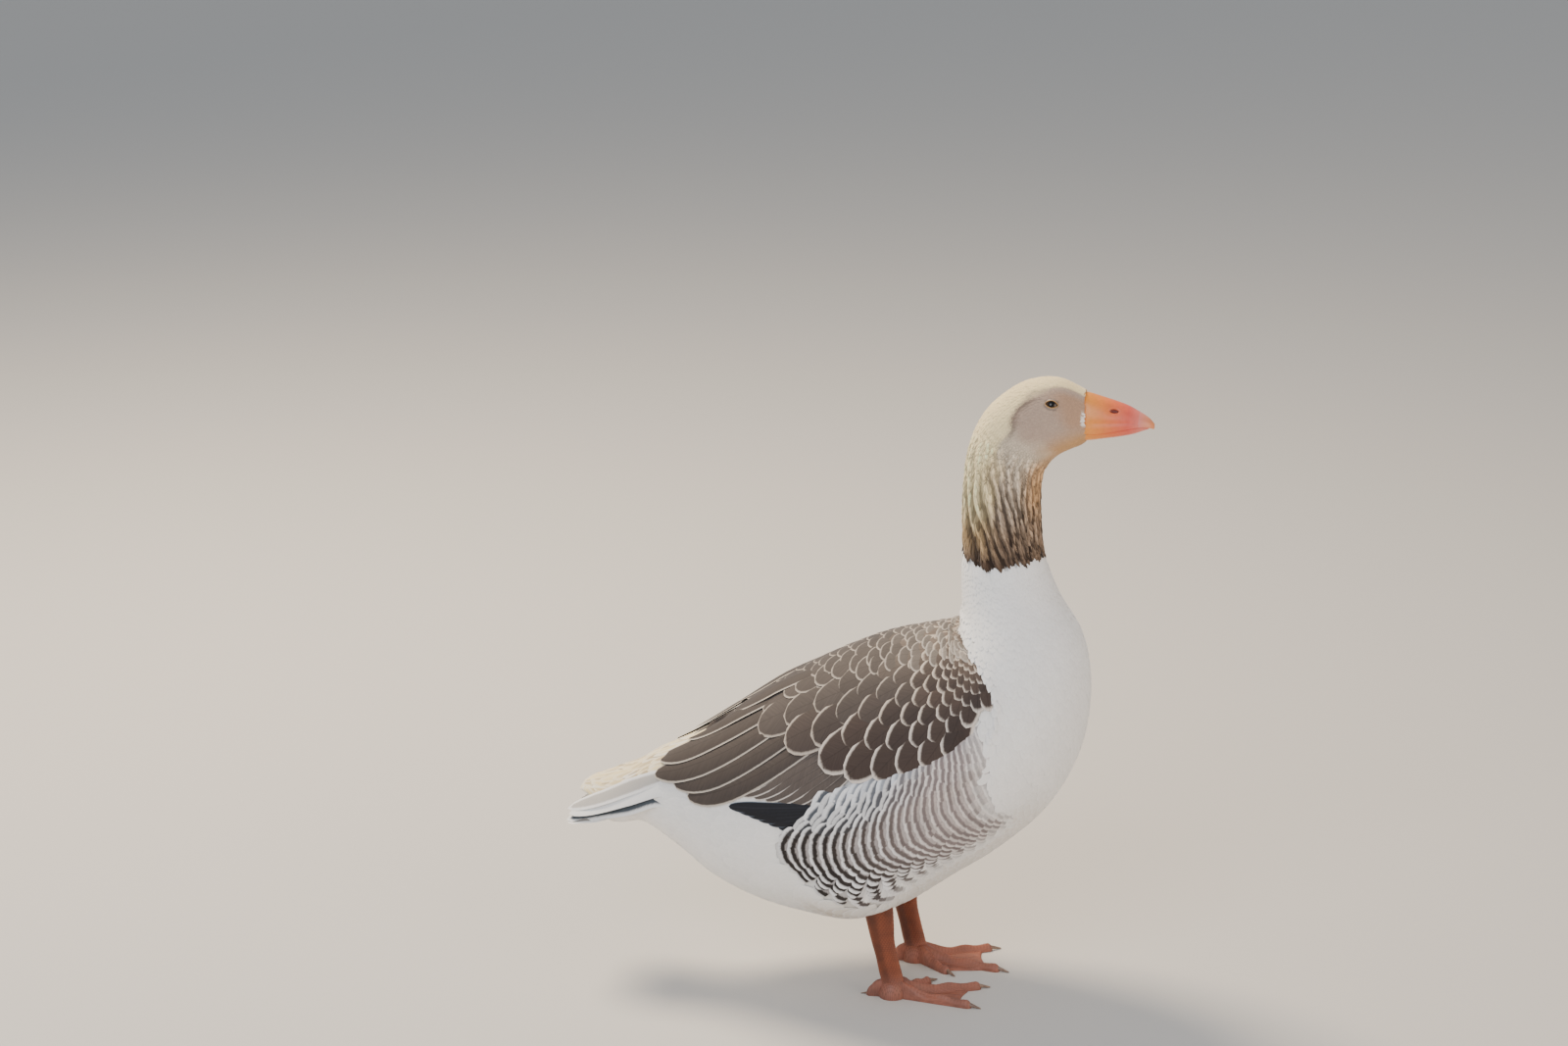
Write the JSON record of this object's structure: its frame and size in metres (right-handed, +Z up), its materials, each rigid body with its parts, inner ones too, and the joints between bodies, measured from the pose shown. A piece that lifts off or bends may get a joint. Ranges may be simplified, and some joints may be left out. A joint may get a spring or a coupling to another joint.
{
  "type": "domestic goose",
  "caption": "Life-size pied domestic goose standing still with its neck upright, wings folded and webbed feet flat on the floor.",
  "frame": {"origin": "on the floor, under the middle of the bird's bounding box", "axes": "+X forwards, towards the bill; +Y towards the bird's left side; +Z up, away from the floor"},
  "size_m": [0.596, 0.2596, 0.6484],
  "materials": {
    "white_plumage": "soft white feathers, with grey-brown barring on the flanks",
    "wing_plumage": "brown-grey feathers, each with a pale fringe",
    "flight_feathers": "near-black flight feathers with a slight sheen",
    "head_plumage": "short cream, beige and brown feathers, furrowed down the neck",
    "bill": "orange bill horn, pinker towards the tip, soft sheen",
    "horn": "pale horn with a soft gloss",
    "eye": "wet dark brown eye",
    "leg_skin": "scaly orange-brown skin, pinkish brown on the webs"
  },
  "bodies": {
    "root": {"bill_lower": "bill", "bill_nail": "horn", "bill_upper": "bill", "claw_hind_left": "horn", "claw_hind_right": "horn", "claw_inner_left": "horn", "claw_inner_right": "horn", "claw_middle_left": "horn", "claw_middle_right": "horn", "claw_outer_left": "horn", "claw_outer_right": "horn", "eye_left": "eye", "eye_right": "eye", "foot_left": "leg_skin", "foot_right": "leg_skin", "head": "head_plumage", "neck_lower": "white_plumage", "neck_upper": "head_plumage", "primaries_left": "flight_feathers", "primaries_right": "flight_feathers", "shank_left": "leg_skin", "shank_right": "leg_skin", "tail_base": "white_plumage", "tail_fan": "white_plumage", "thigh_left": "white_plumage", "thigh_right": "white_plumage", "trunk": "white_plumage", "wing_left": "wing_plumage", "wing_right": "wing_plumage"}
  },
  "joints": []
}
